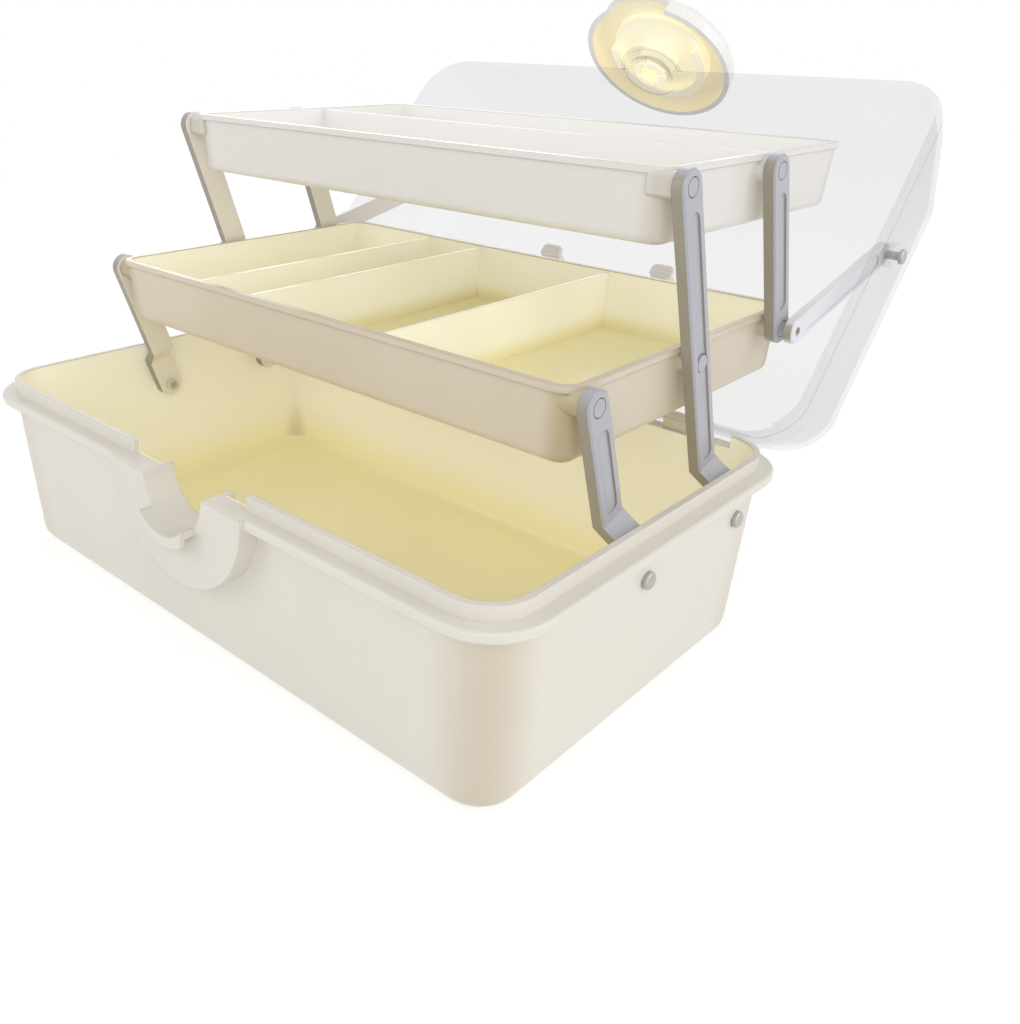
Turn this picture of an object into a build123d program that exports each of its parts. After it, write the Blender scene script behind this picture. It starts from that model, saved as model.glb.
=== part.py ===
from build123d import *
import math
import os

os.makedirs("parts", exist_ok=True)

# A plastic storage case with two cantilever trays under a clear hinged lid.
# Millimetres. X runs left to right, Y front to back, Z up. The origin is the
# middle of the flat bottom. The case is modelled open: the lid lies back and
# the trays stand up on their arms. "Closed" below is the shut case.

# Base tub
case_length = 330.0          # over the flange
case_depth = 203.0           # over the flange
flange_radius = 26.0
flange_underside = 77.0
flange_thickness = 4.5
flange_edge_round = 1.4
wall_inset = 6.5             # flange edge to the wall's outside
base_wall = 2.5
base_draft = 4.5             # how far each wall leans in by the bottom
base_floor = 2.4
bottom_round = 9.0
lip_height = 6.0
lip_gap_half = 37.5          # half of the gap in the lip at the latch

# Latch seat on the base
notch_half = 19.5
boss_radius = 44.0
boss_proud = 1.5             # ahead of the flange's front edge
liner_wall = 2.6
liner_inside = 4.0           # behind the wall's inner face
catch_half_width = 14.0
catch_reach = 6.5            # how far the catch stands out of the boss
hook_thickness = 1.8
hook_overlap = 1.0           # of the catch's hook over the knob's ring lip

# Trays
tray_wall = 2.0
tray_floor = 2.0
tray_draft = 2.2
tray_radius = 9.0
tray_bottom_round = 4.0
tray_bead = 1.0              # small rim bead that stands out of the wall
tray_bead_height = 2.6
divider_wall = 1.8
divider_drop = 1.0           # divider's top below the rim
lower_tray_height = 30.5
upper_tray_height = 28.4
upper_tray_depth = 153.0
front_tray_gap = 12.1        # closed lower tray to the front wall
rear_tray_gap = 3.6          # closed lower tray to the rear wall
tray_stack_gap = 1.0         # closed lower rim to the upper tray's bottom
divider_places = (-0.273, -0.137, 0.165)   # across the lower tray's length
upper_divider_place = 0.075                # across the upper tray's depth

# Arms and pivots
arm_width = 13.0
arm_thickness = 5.0
arm_joggle = 7.5             # the arms' feet step outwards by this
arm_foot_gap = 2.2           # arm foot to the wall's top inner edge
arm_lean = 19.0              # degrees from upright when open, towards the front
lower_arm_length = 75.0
upper_arm_length = 72.2
groove_width = 6.6
groove_depth = 0.8
arm_chamfer = 0.7
foot_length = 17.0           # foot pivot to the start of the outward step
step_length = 7.0            # length of that step along the arm
step_slant = 1.5
pivot_below_flange = 18.1
pivot_below_rim = 6.0
front_overhang = 6.6         # lower tray's front edge to its front pivot
rear_overhang = 20.4
upper_front_overhang = 3.7
pivot_boss_radius = 5.0
foot_boss_radius = 6.0
pivot_boss_height = 2.0
pin_radius = 2.0
pin_fit = 0.08
pin_head_radius = 3.4
pin_head_height = 1.6        # sunk flush into the arm
pin_seat = 3.4               # how deep a tray pin sits in its boss
screw_head_radius = 3.6
screw_head_height = 2.0
head_chamfer = 0.6
nut_thickness = 2.4
running_gap = 0.3

# Lid
lid_inset = 3.0              # lid's outside to the flange edge
lid_wall = 2.2
lid_height = 72.0
lid_gap = 0.5                # lid rim to the flange
lid_radius = 24.0
lid_top_radius = 26.0
lid_skirt = 16.0             # upright part above the rim
lid_side_taper = 6.0
lid_front_taper = 11.5
lid_rear_taper = 24.5
lid_top_round = 18.0
lid_band = 0.8
lid_band_height = 5.0
lid_open_angle = 133.5
lid_pivot_forward = 24.5     # ahead of the case's middle, closed
link_width = 11.0
link_thickness = 4.0
link_clearance = 2.9         # arm to link
tongue_gap = 0.8             # tongue to the notch
latch_pad_radius = 16.0
latch_pad_thickness = 4.5
latch_pad_wall = 3.0
latch_pad_web = 2.2

# Hinge
hinge_above_flange = 5.0
hinge_in_from_lid = 0.3
knuckle_radius = 2.9
hinge_pin_radius = 1.25
hinge_spacing = 220.0
base_knuckle_length = 12.0
lid_knuckle_length = 10.0
knuckle_gap = 0.5
lid_rear_lift = 2.7          # the lid's rear edge stands this far off its rim
lid_rear_cut = 8.0           # how far forward of the hinge that edge reaches

# Handle
handle_length = 138.0
handle_depth = 14.0
handle_height = 13.4
handle_round = 6.0
handle_lift = 20.0
leg_spacing = 76.0
leg_width = 8.0
leg_thickness = 3.4
slot_clearance = 0.4
clip_width = 13.0
clip_depth = 8.0
clip_height = 2.4
clip_chamfer = 1.6

# Latch knob
knob_radius = 43.0
knob_depth = 12.0
knob_wall = 3.0
knob_front_wall = 3.4
knob_edge_round = 6.5
knob_gap = 1.0               # knob's rear edge to the latch boss
opening_half_angle = 25.0    # gap in the knob's wall that lets the catch in
opening_margin = 0.5
inlay_radius = 36.0
inlay_thickness = 1.4
inlay_sink = 1.6
inlay_chamfer = 0.3
inlay_gap = 0.2
insert_plate = 1.8
ring_wall = 2.3
ring_lip_height = 1.8
ring_lip_start = 0.6         # from the knob's rear edge
ring_clearance = 1.6         # round the catch
ring_gap_half_angle = 72.0   # gap in the ring that lets the catch in
low_ridge = 0.9              # what stays of the ring in that gap
socket_wall = 2.4
axle_radius = 8.0
axle_bore = 5.6
axle_head_radius = 9.6
axle_head_height = 1.8
axle_slit = 1.8
axle_slit_depth = 8.0

# Sizes that follow
flange_top = flange_underside + flange_thickness
lip_top = flange_top + lip_height
wall_half_x = case_length / 2 - wall_inset
wall_half_y = case_depth / 2 - wall_inset
wall_radius = flange_radius - wall_inset
inner_half_x = wall_half_x - base_wall
inner_half_y = wall_half_y - base_wall

arm_foot_outer = inner_half_x - arm_foot_gap
arm_outer = arm_foot_outer - arm_joggle
arm_inner = arm_outer - arm_thickness
boss_face = arm_inner - running_gap
tray_half = boss_face - pivot_boss_height
head_inner = arm_outer - pin_head_height
link_inner = arm_outer + link_clearance
link_outer = link_inner + link_thickness

pivot_z = flange_top - pivot_below_flange
pivot_draft = base_draft * (flange_underside - pivot_z) / flange_underside
tub_inner_y = inner_half_y - pivot_draft
lower_tray_depth = 2 * tub_inner_y - front_tray_gap - rear_tray_gap
pivot_pitch = (lower_tray_depth - front_overhang - rear_overhang) / 2
closed_lean = math.degrees(math.acos((upper_tray_height + tray_stack_gap) / upper_arm_length))
arm_sweep = closed_lean - arm_lean

rim_z = flange_top + lid_gap
lid_half_x = case_length / 2 - lid_inset
lid_half_y = case_depth / 2 - lid_inset
lid_top = rim_z + lid_height
hinge_y = lid_half_y - hinge_in_from_lid
hinge_z = flange_top + hinge_above_flange
hinge_axis = Axis((0, hinge_y, hinge_z), (1, 0, 0))

boss_front = -case_depth / 2 - boss_proud
leg_top = lid_top + running_gap + handle_height / 2
leg_bottom = lid_top - lid_wall - handle_lift - clip_height - running_gap
knob_back = boss_front - knob_gap
pad_front = lid_half_y + lid_band
latch_z = rim_z
knob_inside = knob_depth - knob_front_wall
catch_outer = notch_half + liner_wall
ring_lip_inner = catch_outer + ring_clearance
hook_radius = ring_lip_inner + hook_overlap
ring_inner = hook_radius + ring_clearance
ring_outer = ring_inner + ring_wall
opening_depth = catch_reach - knob_gap + opening_margin
cut = 1.0                    # how far cutting tools reach past a face


def along(start, lean, distance):
    """Point at a distance up an arm that leans forwards from the vertical."""
    turn = math.radians(lean)
    return (start[0] - distance * math.sin(turn), start[1] + distance * math.cos(turn))


def turned(point, centre, degrees):
    """Point in the side view (y, z) turned about a centre."""
    turn = math.radians(degrees)
    y = point[0] - centre[0]
    z = point[1] - centre[1]
    return (
        centre[0] + y * math.cos(turn) - z * math.sin(turn),
        centre[1] + y * math.sin(turn) + z * math.cos(turn),
    )


# Pivots in the side view, as (y, z): the open case
closed_run = lower_arm_length * math.sin(math.radians(closed_lean))
front_foot = (tub_inner_y - rear_tray_gap - rear_overhang - 2 * pivot_pitch + closed_run, pivot_z)
long_foot = (front_foot[0] + pivot_pitch, pivot_z)
lower_front = along(front_foot, arm_lean, lower_arm_length)
lower_middle = along(long_foot, arm_lean, lower_arm_length)
lower_rear = (lower_middle[0] + pivot_pitch, lower_middle[1])
upper_front = along(lower_middle, arm_lean, upper_arm_length)
upper_rear = along(lower_rear, arm_lean, upper_arm_length)
lower_tray_front = lower_front[0] - front_overhang
lower_rim = lower_front[1] + pivot_below_rim
upper_tray_front = upper_front[0] - upper_front_overhang
upper_rim = upper_front[1] + pivot_below_rim


def lid_pivot_when_closed():
    """Where the link meets the closed lid, so that it is as long open as closed."""
    hinge = (hinge_y, hinge_z)
    closed_rear = (
        long_foot[0] + pivot_pitch - closed_run,
        pivot_z + lower_arm_length * math.cos(math.radians(closed_lean)),
    )
    open_rear = turned(lower_rear, hinge, lid_open_angle)
    place = -lid_pivot_forward
    middle_y = (closed_rear[0] + open_rear[0]) / 2
    middle_z = (closed_rear[1] + open_rear[1]) / 2
    slope_y = open_rear[0] - closed_rear[0]
    slope_z = open_rear[1] - closed_rear[1]
    return (place, middle_z - slope_y * (place - middle_y) / slope_z)


lid_pivot_closed = lid_pivot_when_closed()
lid_pivot = turned(lid_pivot_closed, (hinge_y, hinge_z), -lid_open_angle)


def plan(half_x, half_y, radius, height, shift_y=0.0):
    """Rounded rectangle lying flat at a height."""
    return Pos(0, shift_y, height) * RectangleRounded(2 * half_x, 2 * half_y, radius)


def block(low, high):
    """Box between two opposite corners."""
    size = [b - a for a, b in zip(low, high)]
    middle = [(a + b) / 2 for a, b in zip(low, high)]
    return Pos(*middle) * Box(*size)


def rod_x(start_x, end_x, radius, y, z):
    """Round rod along X between two planes."""
    return Pos((start_x + end_x) / 2, y, z) * Rot(0, 90, 0) * Cylinder(radius, end_x - start_x)


def rod_y(start_y, end_y, radius, x, z):
    """Round rod along Y between two planes."""
    return Pos(x, (start_y + end_y) / 2, z) * Rot(90, 0, 0) * Cylinder(radius, end_y - start_y)


def both_sides(part):
    """The part and its mirror image on the case's other side."""
    return Compound(children=[part, mirror(part, Plane.YZ)])


def opened(part):
    """A piece of the closed lid, swung back with it."""
    return part.rotate(hinge_axis, -lid_open_angle)


def base_shell():
    """Tub with its flange, lip, latch seat, arm bosses and hinge ears."""
    foot_x = wall_half_x - base_draft
    foot_y = wall_half_y - base_draft
    foot_radius = wall_radius - base_draft / 2
    foot = plan(foot_x, foot_y, foot_radius, 0)
    brim = plan(wall_half_x, wall_half_y, wall_radius, flange_underside)
    tub = loft([foot, brim], ruled=True)
    tub = fillet(tub.edges().group_by(Axis.Z)[0], bottom_round)
    floor_x = foot_x - base_wall
    floor_y = foot_y - base_wall
    inner_radius = wall_radius - base_wall
    inner_foot = plan(floor_x, floor_y, foot_radius - base_wall, base_floor)
    inner_brim = plan(inner_half_x, inner_half_y, inner_radius, flange_underside)
    hollow = loft([inner_foot, inner_brim], ruled=True)
    hollow = fillet(hollow.edges().group_by(Axis.Z)[0], bottom_round - base_wall)
    sheet = plan(case_length / 2, case_depth / 2, flange_radius, flange_underside)
    flange = extrude(sheet, flange_thickness)
    levels = flange.edges().group_by(Axis.Z)
    flange = fillet(levels[0] + levels[-1], flange_edge_round)
    lip = extrude(plan(wall_half_x, wall_half_y, wall_radius, flange_top), lip_height)
    lip -= block((-lip_gap_half, -case_depth, flange_top), (lip_gap_half, 0, lip_top + cut))
    rear_gap_half = wall_half_x - wall_radius
    lip -= block((-rear_gap_half, 0, flange_top), (rear_gap_half, case_depth, lip_top + cut))
    boss = rod_y(boss_front, -wall_half_y + base_draft, boss_radius, 0, latch_z)
    boss &= block((-boss_radius, -case_depth, 0), (boss_radius, 0, flange_top))
    liner_back = -inner_half_y + liner_inside
    liner = rod_y(boss_front, liner_back, notch_half + liner_wall, 0, latch_z)
    liner &= block((-boss_radius, -case_depth, 0), (boss_radius, 0, flange_top))
    mouth = extrude(plan(inner_half_x, inner_half_y, inner_radius, flange_underside), lip_top)
    shell = tub + flange + lip + boss - hollow - mouth + liner
    for y in (front_foot[0], long_foot[0]):
        for side in (-1, 1):
            seat = inner_half_x - pivot_draft
            near = side * (arm_foot_outer + running_gap)
            low, high = sorted((near, side * (seat + base_wall / 2)))
            shell += rod_x(low, high, foot_boss_radius, y, pivot_z)
    for side in (-1, 1):
        centre = side * hinge_spacing / 2
        half = base_knuckle_length / 2
        shell += rod_x(centre - half, centre + half, knuckle_radius, hinge_y, hinge_z)
        shell += block((centre - half, wall_half_y, flange_top - flange_thickness / 2),
                       (centre + half, hinge_y + knuckle_radius, hinge_z))
    shell += latch_catch()
    behind = liner_back + cut
    notch = rod_y(2 * boss_front, behind, notch_half, 0, latch_z)
    notch += block((-notch_half, 2 * boss_front, latch_z), (notch_half, behind, lip_top + cut))
    shell -= notch
    for y in (front_foot[0], long_foot[0]):
        shell -= rod_x(-case_length, case_length, pin_radius + pin_fit, y, pivot_z)
    shell -= rod_x(-case_length, case_length, hinge_pin_radius + pin_fit, hinge_y, hinge_z)
    return shell


def latch_catch():
    """Arched catch at the notch's foot, with a hook that the knob's ring turns behind."""
    front = boss_front - catch_reach
    catch = rod_y(front, boss_front + boss_proud, catch_outer, 0, latch_z)
    catch += rod_y(front, front + hook_thickness, hook_radius, 0, latch_z)
    return catch & block((-catch_half_width, -case_depth, 0), (catch_half_width, 0, latch_z - notch_half / 2))


def round_head(start, y, z):
    """Screw head with a chamfered rim, its face towards +X."""
    head = rod_x(start, start + screw_head_height, screw_head_radius, y, z)
    return chamfer(head.faces().sort_by(Axis.X)[-1].edges(), head_chamfer)


def base_screws():
    """Four pivot screws through the tub's side walls."""
    outside = wall_half_x - pivot_draft + running_gap
    tip = arm_foot_outer - arm_thickness - running_gap - nut_thickness
    screws = []
    for y in (front_foot[0], long_foot[0]):
        shank = rod_x(tip, outside + screw_head_height / 2, pin_radius, y, pivot_z)
        screws.append(both_sides(shank + round_head(outside, y, pivot_z)))
    return Compound(children=screws)


def hex_nut(inner_x, y, z):
    """Hexagon nut whose outer face looks along +X."""
    bar = extrude(RegularPolygon(screw_head_radius, 6), nut_thickness)
    bar -= extrude(Circle(pin_radius + pin_fit / 2), nut_thickness)
    return Pos(inner_x, y, z) * Rot(0, 90, 0) * bar


def base_nuts():
    """Nuts on the pivot screws, inside the arms' feet."""
    start = arm_foot_outer - arm_thickness - running_gap - nut_thickness
    nuts = [both_sides(hex_nut(start, y, pivot_z)) for y in (front_foot[0], long_foot[0])]
    return Compound(children=nuts)


def tray(front_y, depth, rim, height, pivots):
    """Open tray with drafted walls, a rim bead and a boss at each arm pivot."""
    half_y = depth / 2
    middle = front_y + half_y
    wall_x = tray_half - tray_bead
    wall_y = half_y - tray_bead
    foot_x = wall_x - tray_draft
    foot_y = wall_y - tray_draft
    floor_z = rim - height
    inner_floor = floor_z + tray_floor
    radius = tray_radius - tray_bead
    foot_radius = radius - tray_draft / 2
    foot = plan(foot_x, foot_y, foot_radius, floor_z, middle)
    body = loft([foot, plan(wall_x, wall_y, radius, rim, middle)], ruled=True)
    body = fillet(body.edges().group_by(Axis.Z)[0], tray_bottom_round)
    bead = plan(tray_half, half_y, tray_radius, rim - tray_bead_height, middle)
    body += extrude(bead, tray_bead_height)
    reach = block((-boss_face, front_y, floor_z), (boss_face, front_y + depth, rim))
    for y, z in pivots:
        for side in (-1, 1):
            low, high = sorted((side * boss_face, side * (tray_half - tray_radius)))
            body += rod_x(low, high, pivot_boss_radius, y, z) & reach
    inner_x = foot_x - tray_wall
    inner_y = foot_y - tray_wall
    inner_foot = plan(inner_x, inner_y, foot_radius - tray_wall, inner_floor, middle)
    inner_rim = plan(wall_x - tray_wall, wall_y - tray_wall, radius - tray_wall, rim, middle)
    hollow = loft([inner_foot, inner_rim], ruled=True)
    hollow = fillet(hollow.edges().group_by(Axis.Z)[0], tray_bottom_round - tray_wall)
    body -= hollow
    seat = boss_face - pin_seat
    for y, z in pivots:
        body -= rod_x(-case_length, -seat, pin_radius + pin_fit / 2, y, z)
        body -= rod_x(seat, case_length, pin_radius + pin_fit / 2, y, z)
    return body


def lower_tray():
    """Lower tray with three moulded dividers that run front to back."""
    pivots = (lower_front, lower_middle, lower_rear)
    body = tray(lower_tray_front, lower_tray_depth, lower_rim, lower_tray_height, pivots)
    half_y = lower_tray_depth / 2 - tray_bead - tray_wall / 2
    middle = lower_tray_front + lower_tray_depth / 2
    for place in divider_places:
        x = place * 2 * tray_half
        body += Pos(x, middle, lower_rim) * divider(half_y, lower_tray_height, Plane.YZ)
    return body


def divider(half_length, height, plane):
    """Sheet across a tray's drafted walls, drawn on a plane, its top near the rim."""
    low = tray_floor / 2 - height
    foot_half = half_length - tray_draft
    high = -divider_drop
    outline = [(-foot_half, low), (foot_half, low), (half_length, high), (-half_length, high)]
    face = plane * make_face(Polyline(outline, close=True))
    return extrude(face, divider_wall / 2, both=True)


def upper_tray():
    """Upper tray with one long divider."""
    pivots = (upper_front, upper_rear)
    body = tray(upper_tray_front, upper_tray_depth, upper_rim, upper_tray_height, pivots)
    y = upper_tray_front + upper_tray_depth * (0.5 + upper_divider_place)
    half_x = tray_half - tray_bead - tray_wall / 2
    return body + Pos(0, y, upper_rim) * divider(half_x, upper_tray_height, Plane.XZ)


def tray_pins(pivots):
    """Pins with sunk heads that hold the arms to a tray, one on each side per pivot."""
    pins = []
    for y, z in pivots:
        shank = rod_x(boss_face - pin_seat + running_gap, arm_outer, pin_radius, y, z)
        head = rod_x(head_inner, arm_outer, pin_head_radius, y, z)
        pins.append(both_sides(shank + head))
    return Compound(children=pins)


def arm_frame(pivot, lean):
    """Plane at a pivot: x up the arm, z outwards along the case's X."""
    turn = math.radians(lean)
    up = (0, -math.sin(turn), math.cos(turn))
    return Plane(origin=(0, pivot[0], pivot[1]), x_dir=up, z_dir=(1, 0, 0))


def pin_seats(places, face):
    """Sinks for pin heads, cut down from an arm's outer face."""
    depth = pin_head_height + running_gap
    seats = [Pos(place, 0, face - depth / 2 + cut / 2) for place in places]
    return [seat * Cylinder(pin_head_radius + running_gap, depth + cut) for seat in seats]


def flat_arm(length, inner, thickness, width):
    """Straight arm with round ends, softened edges and a shallow groove."""
    outline = Pos(length / 2, 0, inner) * SlotCenterToCenter(length, width)
    bar = extrude(outline, thickness)
    bar = chamfer(bar.edges().group_by(Axis.Z)[-1], arm_chamfer)
    groove = SlotCenterToCenter(length - 2 * width, groove_width)
    bar -= extrude(Pos(length / 2, 0, inner + thickness) * groove, -groove_depth)
    for place in (0, length):
        bar -= Pos(place, 0, inner + thickness / 2) * Cylinder(pin_radius + pin_fit, 2 * thickness)
    return bar


def footed_arm(length, tray_holes):
    """Arm whose foot steps outwards to reach the tub's wall."""
    bend_end = foot_length + step_length
    back = -arm_width
    tip = length + arm_width
    foot_inner = arm_foot_outer - arm_thickness
    outer_line = [(back, arm_foot_outer), (foot_length + step_slant, arm_foot_outer),
                  (bend_end + step_slant, arm_outer), (tip, arm_outer)]
    inner_line = [(tip, arm_inner), (bend_end, arm_inner), (foot_length, foot_inner), (back, foot_inner)]
    profile = outer_line + inner_line
    side = extrude(Plane.XZ * make_face(Polyline(profile, close=True)), arm_width, both=True)
    outline = Pos(length / 2, 0, 0) * SlotCenterToCenter(length, arm_width)
    bar = side & extrude(outline, case_length)
    flats = bar.faces().filter_by(Axis.Z).sort_by(Axis.X)
    edges = flats[-1].outer_wire().edges() + flats[-2].outer_wire().edges()
    start = bend_end + 2 * step_slant
    rim = [edge for edge in edges if edge.center().X > start]
    bar = chamfer([edge for edge in rim if abs(edge.center().Z - arm_outer) < pin_fit], arm_chamfer)
    start = bend_end + arm_width / 2 + step_slant
    end = length - arm_width
    groove = Pos((start + end) / 2, 0, arm_outer) * SlotCenterToCenter(end - start, groove_width)
    bar -= extrude(groove, -groove_depth)
    for place in (0, *tray_holes):
        bar -= Pos(place, 0, arm_outer) * Cylinder(pin_radius + pin_fit, 4 * arm_joggle)
    return bar - pin_seats(tray_holes, arm_outer)


def front_arm():
    """Short arm from the tub to the lower tray's front pivot, right side."""
    return arm_frame(front_foot, arm_lean).location * footed_arm(lower_arm_length, [lower_arm_length])


def long_arm():
    """Long arm from the tub past the lower tray to the upper tray, right side."""
    full = lower_arm_length + upper_arm_length
    return arm_frame(long_foot, arm_lean).location * footed_arm(full, [lower_arm_length, full])


def rear_arm():
    """Arm between the two trays' rear pivots, right side."""
    bar = flat_arm(upper_arm_length, arm_inner, arm_thickness, arm_width)
    bar -= pin_seats((0, upper_arm_length), arm_outer)
    return arm_frame(lower_rear, arm_lean).location * bar


def lid_link():
    """Link from the lid to the lower tray's rear pivot, right side."""
    run_y = lower_rear[0] - lid_pivot[0]
    run_z = lower_rear[1] - lid_pivot[1]
    length = math.hypot(run_y, run_z)
    lean = math.degrees(math.atan2(-run_y, run_z))
    bar = flat_arm(length, link_inner, link_thickness, link_width)
    return arm_frame(lid_pivot, lean).location * bar


def lid_form(offset):
    """Closed lid's outside, drawn in by an offset on every side but the rim."""
    low_z = rim_z - offset
    skirt_z = rim_z + lid_skirt
    half_x = lid_half_x - offset
    half_y = lid_half_y - offset
    radius = lid_radius - offset
    top_half_x = half_x - lid_side_taper
    top_front = -half_y + lid_front_taper
    top_rear = half_y - lid_rear_taper
    top_half_y = (top_rear - top_front) / 2
    shift = (top_rear + top_front) / 2
    high = plan(top_half_x, top_half_y, lid_top_radius - offset, lid_top - offset, shift)
    form = loft([plan(half_x, half_y, radius, skirt_z), high], ruled=True)
    form = fillet(form.edges().group_by(Axis.Z)[-1], lid_top_round - offset)
    return form + extrude(plan(half_x, half_y, radius, low_z), skirt_z - low_z)


def lid_outside_at(height):
    """Half length of the closed lid's outside at a height."""
    return lid_half_x - lid_side_taper * (height - rim_z - lid_skirt) / (lid_height - lid_skirt)


def lid_shell():
    """Clear lid with its rim band, latch tongue, link bosses and hinge knuckles."""
    shell = lid_form(0)
    band = plan(lid_half_x + lid_band, lid_half_y + lid_band, lid_radius + lid_band, rim_z)
    shell = shell + extrude(band, lid_band_height) - lid_form(lid_wall)
    tongue_radius = notch_half - tongue_gap
    tongue = rod_y(-lid_half_y, -lid_half_y + lid_wall, tongue_radius, 0, latch_z)
    shell += tongue & block((-tongue_radius, -case_depth, 0), (tongue_radius, 0, rim_z + cut))
    pad_back = -pad_front + latch_pad_thickness
    shell += rod_y(-pad_front, pad_back, latch_pad_radius, 0, latch_z)
    shell -= rod_y(-pad_front + latch_pad_web, 0, latch_pad_radius - latch_pad_wall, 0, latch_z)
    boss_y, boss_z = lid_pivot_closed
    wall_x = lid_outside_at(boss_z) - lid_wall / 2
    for side in (-1, 1):
        low, high = sorted((side * (link_outer + running_gap), side * wall_x))
        shell += rod_x(low, high, foot_boss_radius, boss_y, boss_z)
    rear_edge = rim_z + lid_rear_lift
    shell -= block((-case_length, hinge_y - lid_rear_cut, 0), (case_length, case_depth, rear_edge))
    for side in (-1, 1):
        centre = side * hinge_spacing / 2
        half = base_knuckle_length / 2 + knuckle_gap
        for end in (-1, 1):
            low, high = sorted((centre + end * half, centre + end * (half + lid_knuckle_length)))
            shell += rod_x(low, high, knuckle_radius, hinge_y, hinge_z)
        window_top = hinge_z + 2 * knuckle_radius
        shell -= block((centre - half, hinge_y - lid_rear_cut, 0), (centre + half, case_depth, window_top))
    shell -= rod_x(-case_length, case_length, hinge_pin_radius + pin_fit, hinge_y, hinge_z)
    shell -= rod_x(-case_length, case_length, pin_radius + pin_fit, boss_y, boss_z)
    shell -= rod_y(-case_depth, 0, axle_radius + pin_fit, 0, latch_z)
    slot_half_x = leg_width / 2 + slot_clearance
    slot_half_y = leg_thickness / 2 + slot_clearance
    for side in (-1, 1):
        x = side * leg_spacing / 2
        shell -= block((x - slot_half_x, -slot_half_y, lid_top - 2 * lid_wall),
                       (x + slot_half_x, slot_half_y, lid_top + cut))
    return opened(shell)


def hinge_pins():
    """Two pins through the lid's knuckles and the tub's ears."""
    half = base_knuckle_length / 2 + knuckle_gap + lid_knuckle_length
    centre = hinge_spacing / 2
    return both_sides(rod_x(centre - half, centre + half, hinge_pin_radius, hinge_y, hinge_z))


def lid_screws():
    """Screw through the lid's wall and the link, on each side."""
    y, z = lid_pivot_closed
    outside = lid_outside_at(z) + running_gap
    shank = rod_x(link_inner - running_gap, outside + screw_head_height / 2, pin_radius, y, z)
    return opened(both_sides(shank + round_head(outside, y, z)))


def handle_grip():
    """Rounded carrying bar that lies on the lid's top panel."""
    low = lid_top + running_gap
    bar = block((-handle_length / 2, -handle_depth / 2, low),
                (handle_length / 2, handle_depth / 2, low + handle_height))
    bar = fillet(bar.edges(), handle_round)
    half_x = leg_width / 2 + pin_fit
    half_y = leg_thickness / 2 + pin_fit
    for side in (-1, 1):
        x = side * leg_spacing / 2
        bar -= block((x - half_x, -half_y, 0), (x + half_x, half_y, leg_top + pin_fit))
    return opened(bar)


def handle_legs():
    """Two flat legs that slide through the slots in the lid."""
    leg = block((leg_spacing / 2 - leg_width / 2, -leg_thickness / 2, leg_bottom),
                (leg_spacing / 2 + leg_width / 2, leg_thickness / 2, leg_top))
    return opened(both_sides(leg))


def handle_clips():
    """Clips on the legs' lower ends that stop the lift at the lid's inside."""
    clip = block((leg_spacing / 2 - clip_width / 2, -clip_depth / 2, leg_bottom),
                 (leg_spacing / 2 + clip_width / 2, clip_depth / 2, leg_bottom + clip_height))
    clip = chamfer(clip.edges().filter_by(Axis.Z), clip_chamfer)
    half_x = leg_width / 2 + pin_fit
    half_y = leg_thickness / 2 + pin_fit
    clip -= block((leg_spacing / 2 - half_x, -half_y, leg_bottom - cut),
                  (leg_spacing / 2 + half_x, half_y, lid_top))
    return opened(both_sides(clip))


def knob_place():
    """Place of the knob's own frame: z out of its rear edge, towards the front."""
    return Pos(0, knob_back, latch_z) * Rot(90, 0, 0)


def tube(outer, inner, low, high):
    """Plain tube along Z between two heights."""
    ring = Pos(0, 0, (low + high) / 2) * Cylinder(outer, high - low)
    return ring - Pos(0, 0, (low + high) / 2) * Cylinder(inner, high - low + cut)


def sector(half_angle, low, high):
    """Wedge on the knob's foot side, from its axis outwards, between two heights."""
    reach = 2 * knob_radius
    turn = math.radians(half_angle)
    side = reach * math.sin(turn)
    drop = reach * math.cos(turn)
    face = make_face(Polyline([(0, 0), (-side, -drop), (0, -reach), (side, -drop)], close=True))
    return extrude(Pos(0, 0, low) * face, high - low)


def latch_knob():
    """Round hollow knob with an inlay seat in front and a gap in its wall."""
    cup = Pos(0, 0, knob_depth / 2) * Cylinder(knob_radius, knob_depth)
    cup = fillet(cup.edges().group_by(Axis.Z)[-1], knob_edge_round)
    hollow = Pos(0, 0, knob_inside / 2) * Cylinder(knob_radius - knob_wall, knob_inside)
    hollow = fillet(hollow.edges().group_by(Axis.Z)[-1], knob_edge_round - knob_wall)
    cup -= hollow
    cup -= Pos(0, 0, knob_depth - inlay_sink / 2) * Cylinder(inlay_radius + inlay_gap, inlay_sink)
    return opened(knob_place() * (cup - sector(opening_half_angle, 0, opening_depth)))


def latch_insert():
    """Plate behind the knob's front with the lipped ring and the axle's socket."""
    top = knob_inside - running_gap / 2
    plate_low = top - insert_plate
    disc = Pos(0, 0, (top + plate_low) / 2) * Cylinder(ring_outer, insert_plate)
    ring = tube(ring_outer, ring_inner, ring_lip_start, top)
    ring += tube(ring_outer - ring_wall / 2, ring_lip_inner, ring_lip_start, ring_lip_start + ring_lip_height)
    disc += ring - sector(ring_gap_half_angle, 0, plate_low - low_ridge)
    socket_low = knob_back + pad_front + running_gap
    disc += tube(axle_radius + socket_wall, axle_radius + pin_fit / 2, socket_low, top)
    disc -= Cylinder(axle_radius + pin_fit / 2, 4 * knob_depth)
    return opened(knob_place() * disc)


def latch_inlay():
    """Flat round inlay set into the knob's front."""
    disc = Pos(0, 0, knob_depth - inlay_sink + inlay_thickness / 2) * Cylinder(inlay_radius, inlay_thickness)
    disc = chamfer(disc.edges().group_by(Axis.Z)[-1], inlay_chamfer)
    return opened(knob_place() * disc)


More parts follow.
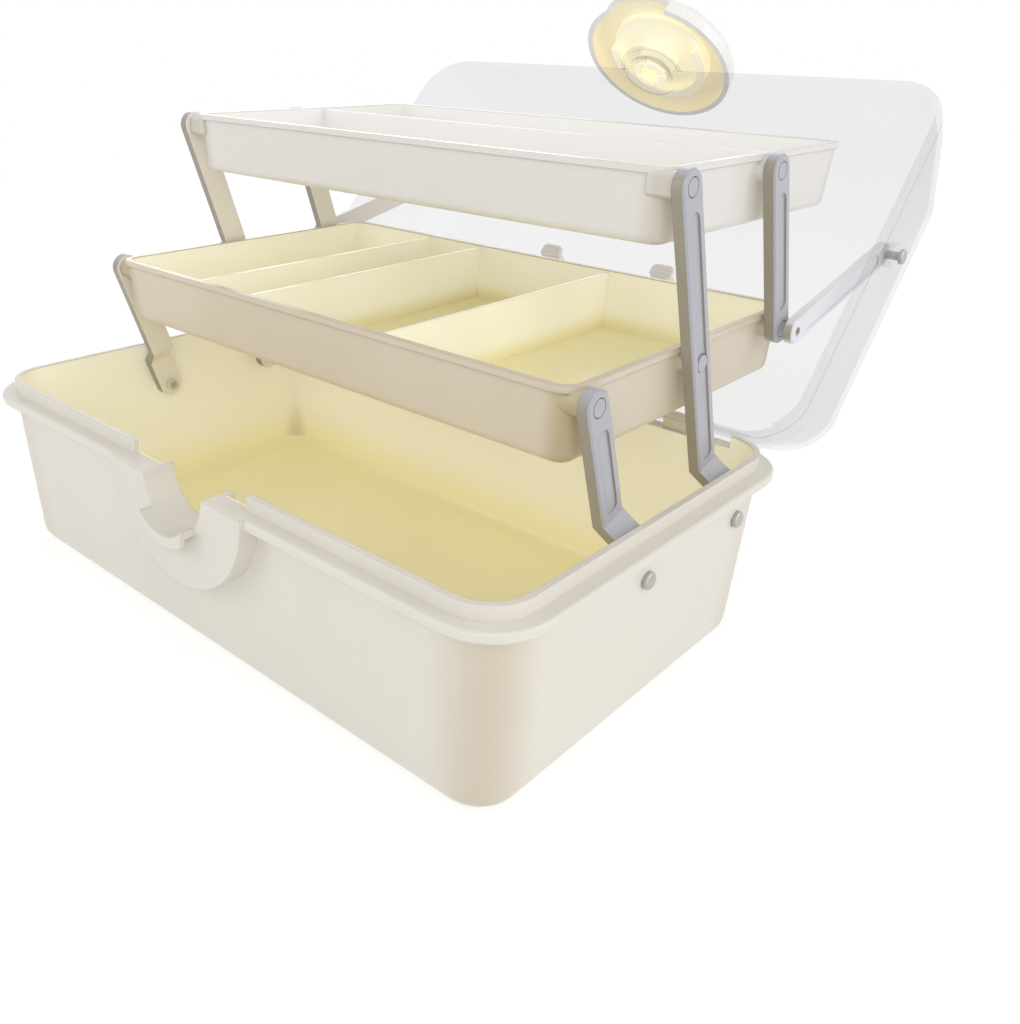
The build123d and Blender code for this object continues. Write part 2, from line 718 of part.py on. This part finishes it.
def latch_axle():
    """Hollow snap pin, split in four, that holds the knob to the lid's tongue."""
    web_back = knob_back + pad_front - latch_pad_web
    low = web_back - running_gap - axle_head_height
    top = knob_inside - 2 * running_gap
    pin = tube(axle_radius, axle_bore, low, top)
    head = Pos(0, 0, low + axle_head_height / 2) * Cylinder(axle_head_radius, axle_head_height)
    head = chamfer(head.edges().group_by(Axis.Z)[0], head_chamfer)
    pin += head - Cylinder(axle_bore, 4 * knob_depth)
    for turn in (0, 90):
        slit = Box(2 * axle_head_radius + cut, axle_slit, 2 * axle_slit_depth)
        pin -= Pos(0, 0, low) * Rot(0, 0, turn) * slit
    return opened(knob_place() * pin)


def save(node, part):
    """Write one sub-part under its node's name."""
    export_step(part, os.path.join("parts", node + ".step"))


save("base_shell", base_shell())
save("base_pivot_screws", base_screws())
save("base_pivot_nuts", base_nuts())
save("hinge_pins", hinge_pins())
save("lower_tray", lower_tray())
save("lower_tray_pins", tray_pins((lower_front, lower_middle, lower_rear)))
save("upper_tray", upper_tray())
save("upper_tray_pins", tray_pins((upper_front, upper_rear)))
for name, arm in (("front_arm", front_arm()), ("long_arm", long_arm()),
                  ("rear_arm", rear_arm()), ("lid_link", lid_link())):
    save(name + "_right", arm)
    save(name + "_left", mirror(arm, Plane.YZ))
save("lid_shell", lid_shell())
save("lid_pivot_screws", lid_screws())
save("handle_grip", handle_grip())
save("handle_legs", handle_legs())
save("handle_clips", handle_clips())
save("latch_knob", latch_knob())
save("latch_insert", latch_insert())
save("latch_inlay", latch_inlay())
save("latch_axle", latch_axle())

print("lid hinge", hinge_y, hinge_z, "link pivot", lid_pivot, "ratio", arm_sweep / lid_open_angle)
print("feet", front_foot, long_foot, "lower", lower_front, lower_middle, lower_rear)
print("upper", upper_front, upper_rear, "sweep", arm_sweep)
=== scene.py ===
import math

import bpy
import numpy as np
from mathutils import Matrix, Vector


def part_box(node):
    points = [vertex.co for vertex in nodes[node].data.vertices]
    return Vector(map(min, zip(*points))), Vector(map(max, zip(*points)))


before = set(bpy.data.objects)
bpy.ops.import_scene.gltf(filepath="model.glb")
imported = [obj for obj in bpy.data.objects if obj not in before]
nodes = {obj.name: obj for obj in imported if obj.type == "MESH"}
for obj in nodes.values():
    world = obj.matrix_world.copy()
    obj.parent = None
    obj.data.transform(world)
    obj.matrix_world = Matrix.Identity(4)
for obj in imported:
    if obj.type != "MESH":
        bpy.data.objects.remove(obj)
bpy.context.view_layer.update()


# ---------------------------------------------------------------- base tub
# The tub is one moulding in warm off-white plastic with a satin gloss. Its inside
# is painted a yellower cream with a painted glow, for the light that bounces
# between its walls, and painted shade darkens its outer corners. It carries the
# flange, the lip, the latch seat and the hinge ears. Its helpers serve the later
# pieces too.


class Link:
    """A shader socket that works in Python sums; node() adds any other node."""

    def __init__(self, tree, socket=None):
        self.tree = tree
        self.socket = socket

    def put(self, target, value):
        """Set an input socket to a link's output or to a plain value."""
        if isinstance(value, Link):
            self.tree.links.new(value.socket, target)
        else:
            target.default_value = value

    def node(self, kind, settings=None, inputs=None, output=0):
        """Add a node: its settings first, then its sockets by name or number."""
        made = self.tree.nodes.new(kind)
        for key, value in (settings or {}).items():
            setattr(made, key, value)
        for key, value in (inputs or {}).items():
            self.put(made.inputs[key], value)
        return Link(self.tree, made.outputs[output])

    def maths(self, operation, *values):
        """A Math node on its values, in the order of its sockets."""
        return self.node("ShaderNodeMath", {"operation": operation}, dict(enumerate(values)))

    def __add__(self, other):
        return self.maths("ADD", self, other)

    def __radd__(self, other):
        return self.maths("ADD", other, self)

    def __sub__(self, other):
        return self.maths("SUBTRACT", self, other)

    def __rsub__(self, other):
        return self.maths("SUBTRACT", other, self)

    def __abs__(self):
        return self.maths("ABSOLUTE", self)

    def __mul__(self, other):
        return self.maths("MULTIPLY", self, other)

    def __rmul__(self, other):
        return self.maths("MULTIPLY", other, self)

    def root(self):
        """The square root."""
        return self.maths("SQRT", self)

    def least(self, other):
        """The smaller of two values."""
        return self.maths("MINIMUM", self, other)

    def most(self, other):
        """The larger of two values."""
        return self.maths("MAXIMUM", self, other)

    def parts(self):
        """The three numbers of a vector."""
        split = self.node("ShaderNodeSeparateXYZ", None, {0: self}).socket.node
        return [Link(self.tree, output) for output in split.outputs]

    def ramp(self, low, high):
        """0 below low, 1 above high, and a smooth step between them."""
        inputs = {"Value": self, "From Min": low, "From Max": high}
        return self.node("ShaderNodeMapRange", {"interpolation_type": "SMOOTHSTEP"}, inputs)

    def tint(self, low, high):
        """Colour that runs from low at 0 to high at 1, by a Mix node's colour sockets."""
        first, second, result = 6, 7, 2
        inputs = {"Factor": self, first: low, second: high}
        return self.node("ShaderNodeMix", {"data_type": "RGBA"}, inputs, result)


def srgb(red, green, blue):
    """Linear colour from a screen colour of 0 to 255.

    A part v of 0 to 1 becomes v / 12.92 up to 0.04045, and past that
    ((v + 0.055) / 1.055) to the power 2.4.
    """
    values = np.array([red, green, blue]) / 255.0
    linear = np.where(values <= 0.04045, values / 12.92, ((values + 0.055) / 1.055) ** 2.4)
    return (*linear.tolist(), 1.0)


def new_material(name):
    """Empty material: its link to build from, and its Principled shader."""
    material = bpy.data.materials.new(name)
    material.use_nodes = True
    tree = material.node_tree
    return material, Link(tree), tree.nodes["Principled BSDF"]


def noise(link, scale, detail):
    """Noise on Object coordinates, which are metres in the shared frame."""
    place = link.node("ShaderNodeTexCoord", output="Object")
    return link.node("ShaderNodeTexNoise", None, {"Vector": place, "Scale": scale, "Detail": detail})


def faint(colour, share):
    """The same colour at a share of its strength."""
    return (colour[0] * share, colour[1] * share, colour[2] * share, 1.0)


plastic_ior = 1.49


def moulded_plastic(name, colour, shade, glow=0.0, roughness=0.3, hollow=None, tones=None):
    """Satin moulded plastic: faint flow clouds, a fine grain and softened edges.

    glow is the share of its own colour that the plastic gives off as a painted
    glow, standing in for light that comes through the thin walls. hollow, where
    given, makes the masks of a tub's or a tray's inside, and tones holds the
    colours that go with them: the painted corner shade, then the wall and floor
    creams of painted bounce light with their painted glows.
    """
    material, link, shader = new_material(name)
    clouds = noise(link, scale=9.0, detail=3.0)
    grain = noise(link, scale=900.0, detail=2.0)
    cloud_low, cloud_high, cloud_strength = 0.35, 0.75, 0.12
    corner_shade_clouds, inside_clouds = 0.25, 0.1
    grain_gloss, grain_strength, grain_height = 0.08, 0.02, 0.0004
    edge_radius = 0.0006
    skin = (clouds.ramp(cloud_low, cloud_high) * cloud_strength).tint(colour, shade)
    if hollow is None:
        # Painted glow: the plastic gives off a share of its own colour.
        shader.inputs["Emission Color"].default_value = faint(colour, glow)
    else:
        corner_shade_tone, wall_bounce_tone, wall_glow, floor_bounce_tone, floor_glow = tones
        within, corner_shade, sunk = hollow(link.node("ShaderNodeTexCoord", output="Object"))
        # Painted shade darkens the corners, and painted bounce light turns the inside cream.
        corner_shade = corner_shade * (1.0 - corner_shade_clouds + corner_shade_clouds * clouds)
        inside = within * (1.0 - inside_clouds + inside_clouds * clouds)
        skin = inside.tint(corner_shade.tint(skin, corner_shade_tone), sunk.tint(wall_bounce_tone, floor_bounce_tone))
        # Painted bounce light: the inside gives off a painted glow in its wall and floor creams.
        light = sunk.tint(faint(wall_bounce_tone, wall_glow), faint(floor_bounce_tone, floor_glow))
        link.put(shader.inputs["Emission Color"], within.tint(srgb(0, 0, 0), light))
    shader.inputs["Emission Strength"].default_value = 1.0
    link.put(shader.inputs["Base Color"], skin)
    link.put(shader.inputs["Roughness"], roughness - grain_gloss / 2 + grain_gloss * grain)
    soft_edge = link.node("ShaderNodeBevel", {"samples": 4}, {"Radius": edge_radius})
    relief = {"Strength": grain_strength, "Distance": grain_height, "Height": grain, "Normal": soft_edge}
    link.put(shader.inputs["Normal"], link.node("ShaderNodeBump", None, relief))
    shader.inputs["IOR"].default_value = plastic_ior
    return material


def dress(node, material):
    """Give a CAD node its material."""
    piece = nodes[node]
    piece.data.materials.clear()
    piece.data.materials.append(material)


def round_hollow(half_x, half_y, radius, floor, rim, lean, lean_top, middle_y=0.0):
    """Masks of a round-cornered hollow whose walls lean in below lean_top.

    They are 1 inside the hollow, toward the outer corners where shade is painted,
    and down at its floor. The distance to the rounded rectangle is the root of the
    squares of the parts past the corner's centre, or else the larger part, less
    the corner's radius.
    """
    margin, level_fade, wall_fade = 0.0003, 0.0005, 0.0006
    corner_shade_start, corner_shade_end = -0.7 * radius, 0.9 * radius
    corner_shade_fade = 0.004
    floor_share = 0.35

    def masks(place):
        x, y, z = place.parts()
        drop = (lean_top - z).most(0.0) * lean
        over_x = abs(x) + drop - (half_x - radius)
        over_y = abs(y - middle_y) + drop - (half_y - radius)
        out_x = over_x.most(0.0)
        out_y = over_y.most(0.0)
        corner = (out_x * out_x + out_y * out_y).root()
        distance = corner + over_x.most(over_y).least(0.0) - radius
        above_floor = z.ramp(floor - margin - level_fade, floor - margin)
        below_rim = 1.0 - z.ramp(rim - margin - level_fade, rim - margin)
        within = above_floor * below_rim * (1.0 - distance.ramp(margin, margin + wall_fade))
        # Painted shade: 1 toward the outer corners, fading out above lean_top.
        corner_shade = over_x.least(over_y).ramp(corner_shade_start, corner_shade_end)
        corner_shade = corner_shade * (1.0 - z.ramp(lean_top - corner_shade_fade, lean_top))
        sunk = 1.0 - z.ramp(floor, floor + floor_share * (rim - floor))
        return within, corner_shade, sunk

    return masks


# Painted bounce light: creams for inside walls and floors; the wall cream also tints the outer clouds.
cloud_and_wall_bounce_cream = srgb(254, 251, 234)
floor_bounce_cream = srgb(253, 245, 198)
base_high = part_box("base_shell")[1]
case_depth = 0.203
base_wall = 0.0025
wall_inset = 0.0065
inner_radius = 0.017
base_floor = 0.0024
flange_underside = 0.077
lip_top = 0.0875
draft_inset = 0.0045
base_hollow = round_hollow(
    half_x=base_high.x - wall_inset - base_wall,
    half_y=case_depth / 2 - wall_inset - base_wall,
    radius=inner_radius,
    floor=base_floor,
    rim=lip_top,
    lean=draft_inset / flange_underside,
    lean_top=flange_underside,
)
latch_height = 0.082
liner_radius = 0.0221
liner_radius_fade = 0.0004
liner_rear = -0.0884
liner_rear_fade = 0.0002


def tub_masks(place):
    """The tub's masks, without the liner that stands round the latch notch."""
    within, corner_shade, sunk = base_hollow(place)
    x, y, z = place.parts()
    rise = z - latch_height
    away = (x * x + rise * rise).root()
    ring = 1.0 - away.ramp(liner_radius, liner_radius + liner_radius_fade)
    liner = ring * (1.0 - y.ramp(liner_rear, liner_rear + liner_rear_fade))
    return within * (1.0 - liner), corner_shade, sunk


tub_white = srgb(226, 221, 211)
# Painted shade for the tub's outer corners, and painted glow for its inside.
tub_corner_shade = srgb(212, 200, 180)
tub_wall_glow, tub_floor_glow = 0.12, 0.1
tub_tones = (tub_corner_shade, cloud_and_wall_bounce_cream, tub_wall_glow, floor_bounce_cream, tub_floor_glow)
tub_material = moulded_plastic("tub_moulding", tub_white, cloud_and_wall_bounce_cream, hollow=tub_masks, tones=tub_tones)
dress("base_shell", tub_material)

# ---------------------------------------------------------------- trays
# Two open trays, the lower one in cream plastic darkened and yellowed with painted
# shade from the tray above, and the upper one nearly white with a painted lighter
# inside. Both carry painted shade at their corners and a painted glow inside. They
# hang on the arms by round bosses, and their dividers are moulded in.

tray_wall = 0.002
tray_bead = 0.001
tray_draft = 0.0022
tray_floor = 0.002
boss_height = 0.002
tray_radius = 0.009
inset = tray_bead + tray_wall
# The lower tray's outside carries painted shade; the corner colours are painted shade.
lower_cream_and_shade = srgb(212, 200, 180)
lower_corner_shade = srgb(180, 164, 128)
upper_white = srgb(227, 224, 219)
upper_corner_shade = srgb(204, 196, 184)
# The upper tray's lightened inside is painted light; it also tints the tray's clouds.
upper_cloud_and_lit_inside = srgb(240, 238, 235)
lower_wall_glow, lower_floor_glow = 0.13, 0.03
upper_wall_glow, upper_floor_glow = 0.08, 0.01
tray_tones = {
    "lower_tray": (lower_cream_and_shade, lower_corner_shade, cloud_and_wall_bounce_cream, lower_wall_glow, floor_bounce_cream, lower_floor_glow),
    "upper_tray": (upper_white, upper_corner_shade, upper_cloud_and_lit_inside, upper_wall_glow, upper_cloud_and_lit_inside, upper_floor_glow),
}
for name, (outside, *tones) in tray_tones.items():
    low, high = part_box(name)
    tray_hollow = round_hollow(
        half_x=high.x - boss_height - inset,
        half_y=(high.y - low.y) / 2 - inset,
        radius=tray_radius - inset,
        floor=low.z + tray_floor,
        rim=high.z,
        lean=tray_draft / (high.z - low.z),
        lean_top=high.z,
        middle_y=(low.y + high.y) / 2,
    )
    tray_material = moulded_plastic(name + "_moulding", outside, tones[1], hollow=tray_hollow, tones=tones)
    dress(name, tray_material)

# ---------------------------------------------------------------- arms
# Six flat arms and two lid links in bluish light grey plastic, each with a
# shallow groove down its face. Their faces toward the trays take a painted cream
# bounce light and painted glow, and their front edges painted brown shade.
# Round-headed pins hold them to the trays.


def arm_plastic(name, colour, shade, glow=0.0):
    """Arm plastic with a creamier face toward the trays and a browner front edge.

    The face is where x times the normal's x part is below zero, and the edge is
    where the normal's y part is near -1. The face's cream and glow are painted
    bounce light from the trays, and the brown edge is painted shade.
    """
    inner_start, inner_end = 0.03, 0.12
    front_start, front_end = 0.6, 0.95
    material = moulded_plastic(name, colour, shade, roughness=0.32)
    shader = material.node_tree.nodes["Principled BSDF"]
    link = Link(material.node_tree, shader.inputs["Base Color"].links[0].from_socket)
    across = link.node("ShaderNodeTexCoord", output="Object").parts()[0]
    normal_x, normal_y, _ = link.node("ShaderNodeTexCoord", output="Normal").parts()
    inner_bounce = (-1.0 * across * normal_x).ramp(inner_start, inner_end)
    front_shade = (-1.0 * normal_y).ramp(front_start, front_end)
    skin = front_shade.tint(link, front_edge_shade)
    light = inner_bounce.tint(faint(colour, glow), faint(inner_bounce_cream, inner_glow))
    link.put(shader.inputs["Base Color"], inner_bounce.tint(skin, inner_bounce_cream))
    link.put(shader.inputs["Emission Color"], light)
    return material


# Painted bounce light for the arms' inner faces and painted shade for their front edges.
inner_bounce_cream = srgb(232, 227, 217)
inner_glow = 0.09
front_edge_shade = srgb(158, 151, 139)
arm_grey = srgb(176, 176, 184)
arm_shade = srgb(174, 174, 184)
link_grey = srgb(222, 221, 225)
arm_material = arm_plastic("arm_moulding", arm_grey, arm_shade)
# The links also give off a faint painted glow.
link_material = arm_plastic("link_moulding", link_grey, arm_grey, glow=0.06)
for side in ("_left", "_right"):
    for name in ("front_arm", "long_arm", "rear_arm"):
        dress(name + side, arm_material)
    dress("lid_link" + side, link_material)
for name in ("lower_tray_pins", "upper_tray_pins"):
    dress(name, arm_material)

# ---------------------------------------------------------------- metal
# Zinc screws hold the arms' feet and the lid links; nuts close them inside.
# The hinge pins are steel wire.


def turned_steel(name, colour, roughness):
    """Steel with faint turning marks in its gloss."""
    mark_shade, mark_roughness = 0.8, 0.15
    bare_steel = 0.7
    material, link, shader = new_material(name)
    marks = noise(link, scale=700.0, detail=3.0)
    link.put(shader.inputs["Base Color"], marks.tint(colour, faint(colour, mark_shade)))
    link.put(shader.inputs["Roughness"], roughness + mark_roughness * marks)
    shader.inputs["Metallic"].default_value = bare_steel
    return material


pale_steel = turned_steel("pale_steel", srgb(196, 192, 187), roughness=0.45)
nut_steel = turned_steel("nut_steel", srgb(236, 231, 218), roughness=0.5)
for name in ("base_pivot_screws", "hinge_pins", "lid_pivot_screws"):
    dress(name, pale_steel)
dress("base_pivot_nuts", nut_steel)

# ---------------------------------------------------------------- lid
# The lid is a thin clear moulding, hardly tinted, with a glossy skin. It
# carries the latch on a tongue and turns on two hinge pins.


def clear_plastic(name, tint, pale_tint):
    """Thin clear sheet, denser where the look grazes it, with a glossy skin."""
    face_alpha, grazing_alpha = 0.115, 0.15
    edge_blend = 0.35
    least_roughness, wave_roughness = 0.05, 0.06
    material, link, shader = new_material(name)
    waves = noise(link, scale=14.0, detail=2.0)
    link.put(shader.inputs["Base Color"], waves.tint(tint, pale_tint))
    link.put(shader.inputs["Roughness"], least_roughness + wave_roughness * waves)
    facing = link.node("ShaderNodeLayerWeight", None, {"Blend": edge_blend}, "Facing")
    link.put(shader.inputs["Alpha"], face_alpha + grazing_alpha * facing * facing)
    shader.inputs["IOR"].default_value = plastic_ior
    return material


clear_lid = clear_plastic("clear_lid_sheet", srgb(165, 167, 172), srgb(178, 180, 184))
dress("lid_shell", clear_lid)

# ---------------------------------------------------------------- handle
# A rounded carrying bar in white plastic on two flat legs. The legs slide
# through the lid, and clips stop them.

grip_white = srgb(250, 247, 242)
grip_shade = srgb(246, 240, 226)
grip_material = moulded_plastic("grip_moulding", grip_white, grip_shade, roughness=0.28)
for name in ("handle_grip", "handle_legs", "handle_clips"):
    dress(name, grip_material)

# ---------------------------------------------------------------- latch
# A round hollow knob in white plastic, with a ribbed insert, turns on a split
# axle in the lid's tongue. A flat taupe disc is set into its front. The hollow
# shows a yellower cream lit by a painted glow, and the insert and axle give off
# a painted glow too.

latch_centre_y, latch_centre_z = 0.234121, 0.236268
latch_axis_y, latch_axis_z = 0.688355, 0.725374
ring_inside = 0.0401
ring_fade = 0.0003
disc_rear = 0.0105
disc_fade = 0.0002


def latch_hollow(place):
    """Masks of the knob's hollow: inside its ring and behind its front disc.

    Along the axis counts from the knob's rear edge, and the distance from the
    axis is the root of the squares of the place less the square of that.
    """
    x, y, z = place.parts()
    back = y - latch_centre_y
    rise = z - latch_centre_z
    along = back * latch_axis_y + rise * latch_axis_z
    away = (x * x + back * back + rise * rise - along * along).root()
    within = 1.0 - away.ramp(ring_inside, ring_inside + ring_fade)
    within = within * (1.0 - along.ramp(disc_rear, disc_rear + disc_fade))
    no_corner_shade = 0.0 * within
    return within, no_corner_shade, within


knob_white = srgb(246, 245, 243)
knob_cream = srgb(248, 244, 232)
hollow_cream = srgb(244, 235, 204)
# Painted glow in the knob's hollow.
hollow_glow = 0.2
insert_cream = srgb(248, 242, 216)
taupe = srgb(164, 144, 126)
taupe_shade = srgb(154, 134, 116)
latch_tones = (knob_cream, hollow_cream, hollow_glow, hollow_cream, hollow_glow)
knob_material = moulded_plastic(
    "knob_moulding", knob_white, knob_cream, roughness=0.28, hollow=latch_hollow, tones=latch_tones,
)
inlay_material = moulded_plastic(
    "inlay_moulding", taupe, taupe_shade, roughness=0.4, hollow=latch_hollow, tones=latch_tones,
)
# The insert and the axle give off a painted glow.
insert_material = moulded_plastic("insert_moulding", insert_cream, knob_cream, glow=0.27, roughness=0.28)
dress("latch_knob", knob_material)
dress("latch_insert", insert_material)
dress("latch_axle", insert_material)
dress("latch_inlay", inlay_material)

# ---------------------------------------------------------------- studio
# Plain white floor that is its own backdrop, five soft lamps round a white sky,
# and a camera where the photograph was taken from.


def flat_square(name, half, height):
    """Square sheet at a height: corners at plus and minus half."""
    mesh = bpy.data.meshes.new(name)
    corners = [(-half, -half, height), (half, -half, height), (half, half, height), (-half, half, height)]
    mesh.from_pydata(corners, [], [(0, 1, 2, 3)])
    piece = bpy.data.objects.new(name, mesh)
    bpy.context.scene.collection.objects.link(piece)
    return piece


def seen_rays(link):
    """1 for rays from the camera, a gloss or a clear sheet, and 0 for the rest."""
    outputs = link.node("ShaderNodeLightPath").socket.node.outputs
    names = ("Is Camera Ray", "Is Glossy Ray", "Is Transmission Ray")
    camera_ray, glossy_ray, through_ray = [Link(link.tree, outputs[name]) for name in names]
    return camera_ray.most(glossy_ray).most(through_ray)


floor_half = 6.0
floor_height = -0.0002
floor = flat_square("studio_floor", floor_half, floor_height)
floor_material, floor_link, floor_shader = new_material("studio_paper")
seen_floor = seen_rays(floor_link)
floor_place = floor_link.node("ShaderNodeTexCoord", output="Object")
from_middle = floor_link.node("ShaderNodeVectorMath", {"operation": "LENGTH"}, {0: floor_place}, "Value")
far_start, far_end = 0.5, 1.6
far_floor = from_middle.ramp(far_start, far_end)
black = srgb(0, 0, 0)
white = srgb(255, 255, 255)
lighting_paper = srgb(245, 245, 245)
near_paper = srgb(149, 149, 149)
near_glow = srgb(227, 227, 227)
paper = seen_floor.tint(lighting_paper, far_floor.tint(near_paper, black))
paper_glow = seen_floor.tint(black, far_floor.tint(near_glow, white))
floor_link.put(floor_shader.inputs["Base Color"], paper)
floor_link.put(floor_shader.inputs["Emission Color"], paper_glow)
floor_shader.inputs["Emission Strength"].default_value = 1.0
floor_shader.inputs["Specular IOR Level"].default_value = 0.0
floor.data.materials.append(floor_material)

world = bpy.data.worlds.new("studio_light")
world.use_nodes = True
bpy.context.scene.world = world
world_link = Link(world.node_tree)
background = world.node_tree.nodes["Background"]
background.inputs["Color"].default_value = white
lighting_level = 0.45
seen_extra = 0.55
world_link.put(background.inputs["Strength"], lighting_level + seen_extra * seen_rays(world_link))


def soft_lamp(name, place, target, size, power):
    """Square area lamp that looks at a point."""
    lamp = bpy.data.lights.new(name, "AREA")
    lamp.size = size
    lamp.energy = power
    holder = bpy.data.objects.new(name, lamp)
    holder.location = place
    holder.rotation_mode = "QUATERNION"
    holder.rotation_quaternion = (Vector(target) - Vector(place)).to_track_quat("-Z", "Y")
    bpy.context.scene.collection.objects.link(holder)


tub_middle = (0, 0, 0.1)
case_middle = (0, 0, 0.12)
soft_lamp("top_lamp", (0.0, -0.1, 1.5), tub_middle, size=1.4, power=1.5)
soft_lamp("camera_lamp", (0.92, -0.88, 0.65), case_middle, size=1.2, power=6.0)
soft_lamp("left_lamp", (-0.75, -1.1, 0.7), case_middle, size=1.0, power=5.0)
soft_lamp("right_lamp", (1.35, 0.55, 0.7), case_middle, size=1.0, power=6.5)
soft_lamp("rear_lamp", (-0.9, 1.0, 0.8), case_middle, size=1.2, power=8.0)

azimuth, elevation, roll = 42.181, 21.789, 1.281
focal_pixels = 994.98
picture_wide, picture_high = 1020, 1024
centre_across, centre_down = 428.49, 430.21
camera_place = (0.31337, -0.29829, 0.24976)
nearest_seen = 0.01
sensor = 36.0
camera_data = bpy.data.cameras.new("photo_camera")
camera = bpy.data.objects.new("photo_camera", camera_data)
bpy.context.scene.collection.objects.link(camera)
bpy.context.scene.camera = camera
camera_data.sensor_width = sensor
camera_data.lens = sensor * focal_pixels / picture_high
camera_data.shift_x = (picture_wide / 2 - centre_across) / picture_high
camera_data.shift_y = (centre_down - picture_high / 2) / picture_high
camera_data.clip_start = nearest_seen
around = Matrix.Rotation(math.radians(azimuth), 4, "Z")
down = Matrix.Rotation(math.radians(90 - elevation), 4, "X")
rolled = Matrix.Rotation(math.radians(roll), 4, "Z")
camera.rotation_mode = "QUATERNION"
camera.rotation_quaternion = (around @ down @ rolled).to_quaternion()
camera.location = camera_place

bpy.context.scene.view_settings.view_transform = "Standard"
